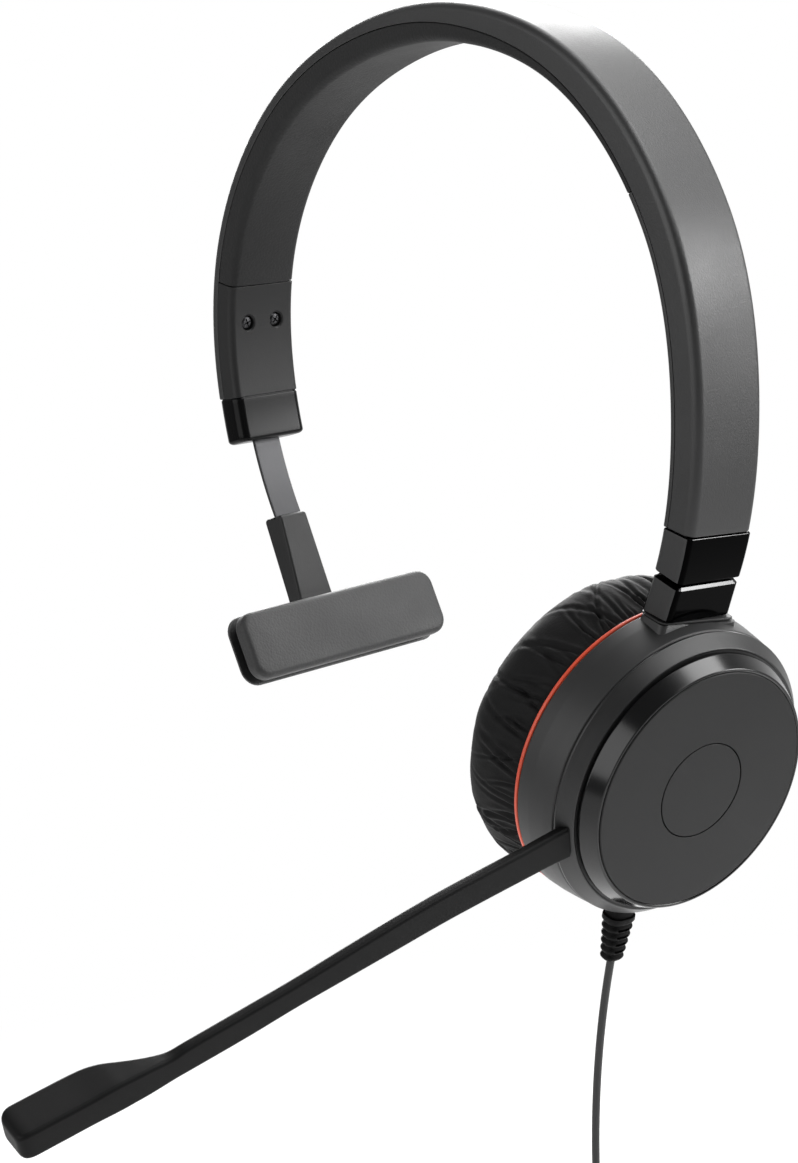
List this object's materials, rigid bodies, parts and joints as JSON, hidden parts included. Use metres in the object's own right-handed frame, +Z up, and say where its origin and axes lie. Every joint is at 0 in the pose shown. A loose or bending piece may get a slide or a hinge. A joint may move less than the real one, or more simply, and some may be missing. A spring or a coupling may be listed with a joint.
{
  "type": "office headset",
  "caption": "Wired one-ear office headset: sprung headband with T-bar head rest, sliding swivelling ear cup with leatherette cushion, and a turning microphone boom on a ring.",
  "frame": {"origin": "centre of the small flat on the underside of the crown pad, where the headset rests on a head", "axes": "+Z up; the wearer faces -Y; the ear cup is on +X (the wearer's left ear), the T-bar on -X"},
  "size_m": [0.1404, 0.1659, 0.3188],
  "materials": {
    "matte_shell": "fine matte moulded grain",
    "gloss_black": "polished piano black",
    "leatherette": "fine-grained soft lining",
    "pleated_leatherette": "gathered, soft sheen",
    "strip_steel": "dark satin spring steel",
    "black_rubber": "satin",
    "accent_red": "satin orange-red",
    "speaker_parts": "moulded",
    "magnet_steel": "plated",
    "circuit_green": "solder mask",
    "acoustic_fabric": "knit cloth over foam",
    "plug_gold": "plated contacts"
  },
  "bodies": {
    "headband": {"headband_shell": "matte_shell", "spring_core": "strip_steel", "crown_pad": "leatherette", "crown_foam": "black_rubber", "right_inner_cover": "matte_shell", "slider_guide": "black_rubber", "detent_spring": "strip_steel", "left_inner_cover": "matte_shell", "cover_screw_front": "strip_steel", "cover_screw_rear": "strip_steel", "left_end_cap": "gloss_black", "right_end_cap": "gloss_black"},
    "tbar": {"tbar_strip": "strip_steel", "tbar_stem": "matte_shell", "tbar_pad": "leatherette", "tbar_carrier": "black_rubber", "tbar_back_plate": "matte_shell"},
    "slider": {"arm_end": "gloss_black", "slider_strip": "strip_steel", "swivel_pin": "strip_steel"},
    "cup": {"cup_housing": "matte_shell", "accent_ring": "accent_red", "baffle_plate": "black_rubber", "speaker_basket": "speaker_parts", "speaker_magnet": "magnet_steel", "speaker_cone": "speaker_parts", "circuit_board": "circuit_green", "board_screw_front": "strip_steel", "board_screw_rear": "strip_steel", "glossy_rim": "gloss_black", "outer_disc": "matte_shell", "medallion": "matte_shell", "cushion_plate": "black_rubber", "ear_cushion": "pleated_leatherette", "acoustic_cloth": "acoustic_fabric", "acoustic_foam": "acoustic_fabric", "strain_relief": "black_rubber", "cord_lead": "black_rubber", "cord_coil": "black_rubber", "cord_tail": "black_rubber", "cord_tie": "black_rubber", "plug_relief": "black_rubber", "plug_body": "matte_shell", "plug_contact": "plug_gold"},
    "boom_ring": {"boom_ring": "matte_shell"},
    "boom": {"boom_arm": "black_rubber", "mic_housing": "matte_shell", "mic_capsule": "magnet_steel", "mic_grille": "acoustic_fabric"}
  },
  "joints": [
    {"name": "tbar_slide", "type": "hinge", "parent": "headband", "child": "tbar", "pos_m": [0.01185, 0, -0.06231], "axis": [0, -1, 0], "range_deg": [-6, 2]},
    {"name": "ear_height", "type": "hinge", "parent": "headband", "child": "slider", "pos_m": [-0.02782, 0, -0.06064], "axis": [0, 1, 0], "range_deg": [0, 15]},
    {"name": "cup_swivel", "type": "hinge", "parent": "slider", "child": "cup", "pos_m": [0.0548, 0.0002, -0.10708], "axis": [0.3194, 0, 0.9476], "range_deg": [-10, 90]},
    {"name": "boom_rotate", "type": "hinge", "parent": "cup", "child": "boom_ring", "pos_m": [0.05751, -0.00271, -0.13997], "axis": [0.9426, -0.1028, -0.3177], "range_deg": [-215, 55]},
    {"name": "boom_flex", "type": "hinge", "parent": "boom_ring", "child": "boom", "pos_m": [0.04624, -0.03718, -0.14556], "axis": [-0.2827, 0.2611, -0.923], "range_deg": [-12, 18]}
  ]
}
